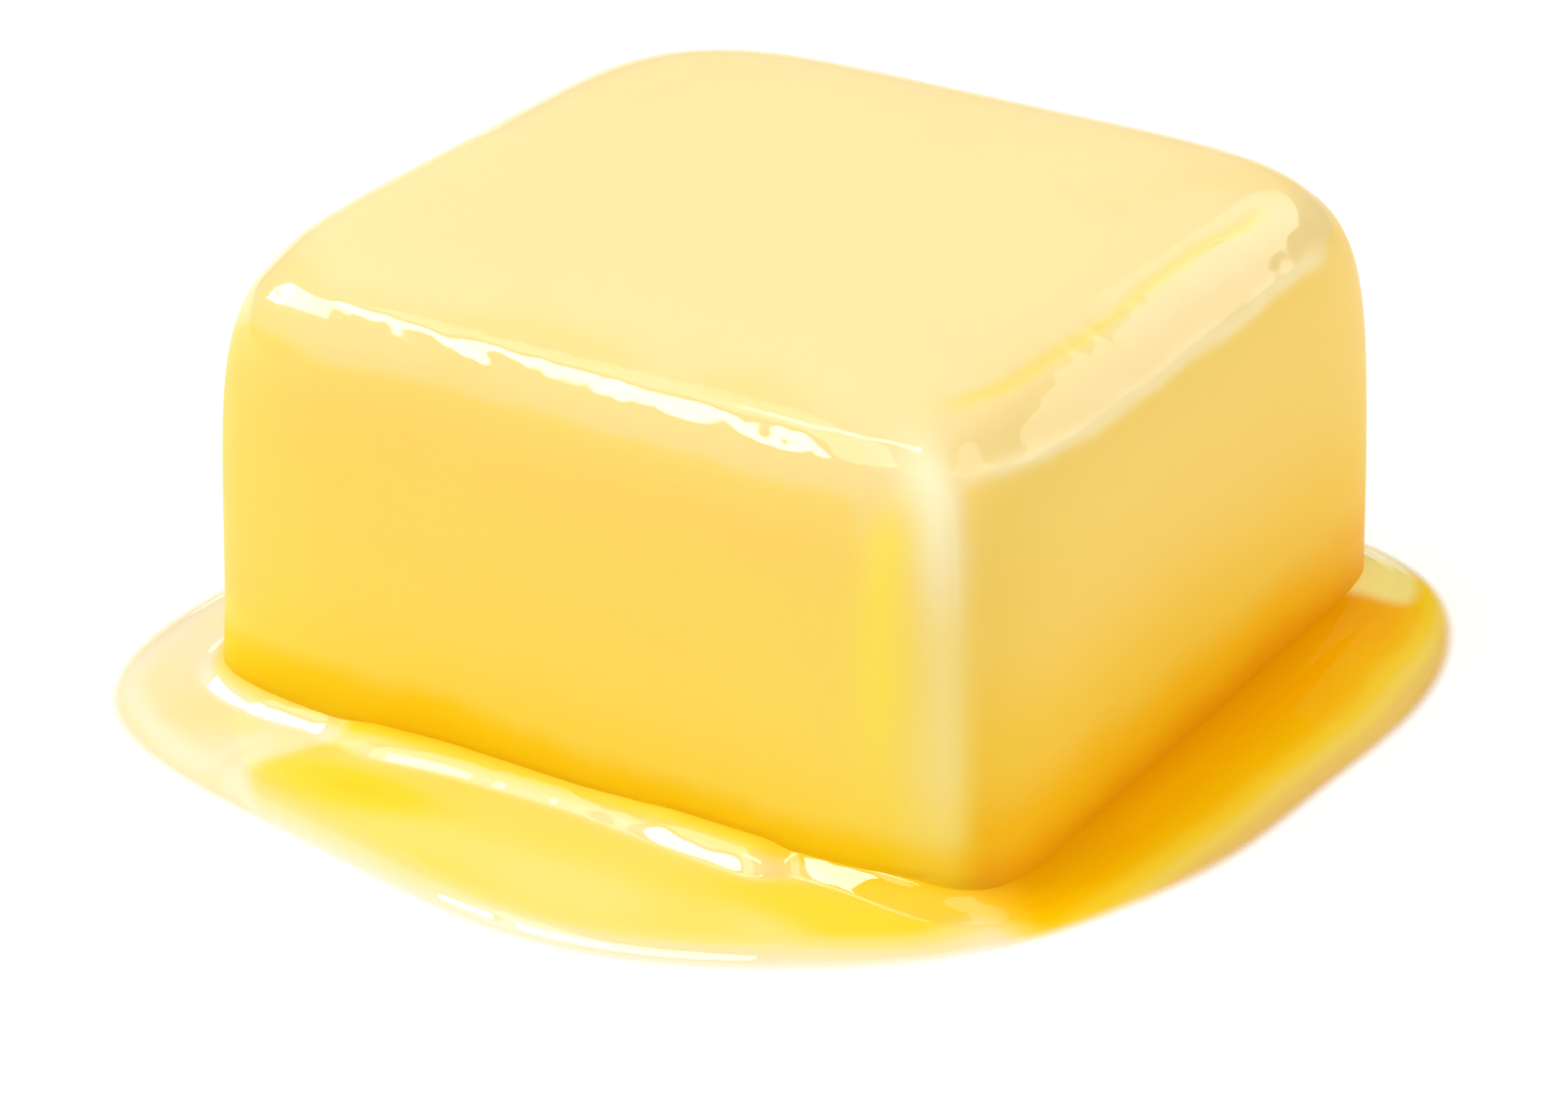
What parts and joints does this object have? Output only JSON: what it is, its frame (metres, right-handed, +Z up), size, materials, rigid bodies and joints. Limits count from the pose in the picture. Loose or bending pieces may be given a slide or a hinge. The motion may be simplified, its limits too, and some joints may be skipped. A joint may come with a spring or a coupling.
{
  "type": "block of butter",
  "caption": "Softened block of butter with rounded edges and corners, standing in a shallow uneven pool of the butter melted off it.",
  "frame": {"origin": "middle of the block's underside, on the surface it rests on", "axes": "+Z up, -Y towards the block's broad front, which is the side with the widest spill, +X to its right"},
  "size_m": [0.0836, 0.0827, 0.0338],
  "materials": {
    "soft_butter": "pale yellow butter, soft and slightly wet",
    "melted_butter": "clear golden liquid butter, wet and glossy"
  },
  "bodies": {
    "root": {"butter_block": "soft_butter", "melted_pool": "melted_butter"}
  },
  "joints": []
}
